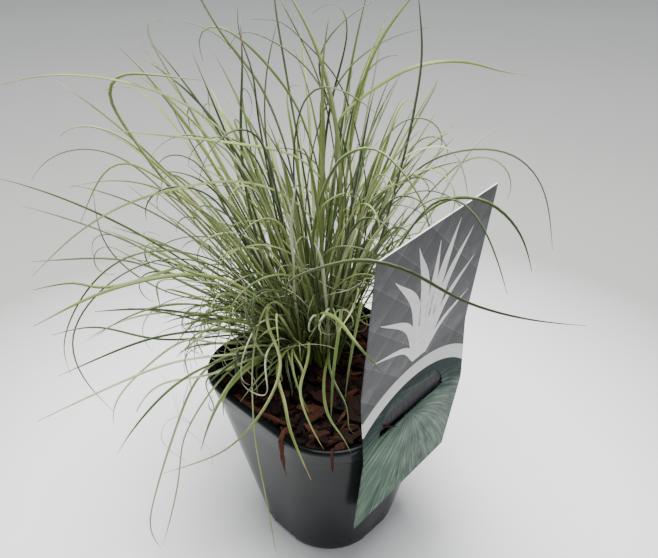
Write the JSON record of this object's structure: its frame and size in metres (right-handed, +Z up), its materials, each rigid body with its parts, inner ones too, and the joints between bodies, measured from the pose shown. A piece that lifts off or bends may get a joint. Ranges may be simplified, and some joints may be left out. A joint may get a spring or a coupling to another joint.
{
  "type": "potted sedge",
  "caption": "Tufted curly-leaved sedge growing in a rounded square nursery pot, with bark mulch and a hooked care label.",
  "frame": {"origin": "on the ground, under the middle of the pot, on the flat of its base", "axes": "+Z up; the pot's flat sides face along X and Y, and the care label hangs on the -Y side"},
  "size_m": [0.334, 0.3333, 0.352],
  "materials": {
    "pot": "black moulded polypropylene, semi-gloss, lightly scuffed",
    "compost": "dark moist peat compost held together by roots",
    "bark": "red-brown composted bark chips, matt",
    "label": "printed stiff plastic sheet, satin, white cut edges",
    "leaf": "pale green sedge leaf, silky, lighter at the edges and tips"
  },
  "bodies": {
    "root": {"pot": "pot", "root_ball": "compost", "bark_mulch": "bark", "care_label": "label", "leaves_centre": "leaf", "leaves_right": "leaf", "leaves_back": "leaf", "leaves_left": "leaf", "leaves_front": "leaf", "leaves_side": "leaf"}
  },
  "joints": []
}
